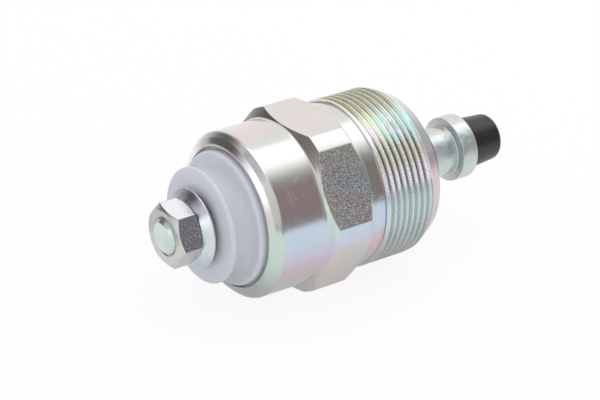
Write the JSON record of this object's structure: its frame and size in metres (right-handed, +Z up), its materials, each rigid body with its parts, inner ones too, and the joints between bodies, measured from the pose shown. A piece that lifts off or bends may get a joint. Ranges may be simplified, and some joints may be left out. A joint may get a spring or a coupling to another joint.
{
  "type": "fuel shutoff solenoid",
  "caption": "Screw-in fuel shutoff solenoid: threaded steel housing with spanner hexagon, spring-loaded plunger with rubber tip, crimped plastic cap and screw terminal.",
  "frame": {"origin": "under the middle of the part, on the plane of the hexagon's lower flat, on which it lies", "axes": "+X along the solenoid's axis from the terminal towards the plunger tip, +Z up, square to the hexagon's upper flat"},
  "size_m": [0.0562, 0.0262, 0.024],
  "materials": {
    "housing_zinc": "bright zinc plate with a faint rainbow tint over turned steel",
    "plunger_zinc": "bright blue-white zinc plate",
    "terminal_zinc": "bright blue-white zinc plate",
    "soft_iron": "bare turned soft iron",
    "spring_steel": "oiled spring steel",
    "sleeve_brass": "drawn brass",
    "winding_copper": "enamelled copper wire",
    "seal_rubber": "smooth moulded rubber",
    "tip_rubber": "matt moulded rubber",
    "cap_plastic": "satin moulded, bluish light grey",
    "bobbin_plastic": "moulded, black",
    "winding_tape": "smooth polyester tape",
    "insulating_board": "pressed board",
    "live_sleeving": "soft sleeving, red",
    "earth_sleeving": "soft sleeving, black"
  },
  "bodies": {
    "solenoid_body": {"housing": "housing_zinc", "nose_o_ring": "seal_rubber", "guide_sleeve": "sleeve_brass", "sleeve_o_ring": "seal_rubber", "return_spring": "spring_steel", "stop_shim": "sleeve_brass", "pole_piece": "soft_iron", "pole_o_ring": "seal_rubber", "coil_bobbin": "bobbin_plastic", "coil_winding": "winding_copper", "winding_tape": "winding_tape", "coil_spring_washer": "spring_steel", "flux_plate": "soft_iron", "insulating_disc": "insulating_board", "live_lead": "live_sleeving", "earth_lead": "earth_sleeving", "cap_seal_ring": "seal_rubber", "terminal_cap": "cap_plastic", "terminal_stud": "terminal_zinc", "stud_o_ring": "seal_rubber", "terminal_washer": "terminal_zinc", "terminal_nut": "terminal_zinc"},
    "armature": {"plunger": "plunger_zinc", "plunger_tip": "tip_rubber"}
  },
  "joints": [
    {"name": "plunger_slide", "type": "slide", "parent": "solenoid_body", "child": "armature", "axis": [-1, 0, 0], "range_m": [0, 0.0035], "stiffness_N_per_m": 400, "springref_m": -0.012, "deforming": ["return_spring"]}
  ]
}
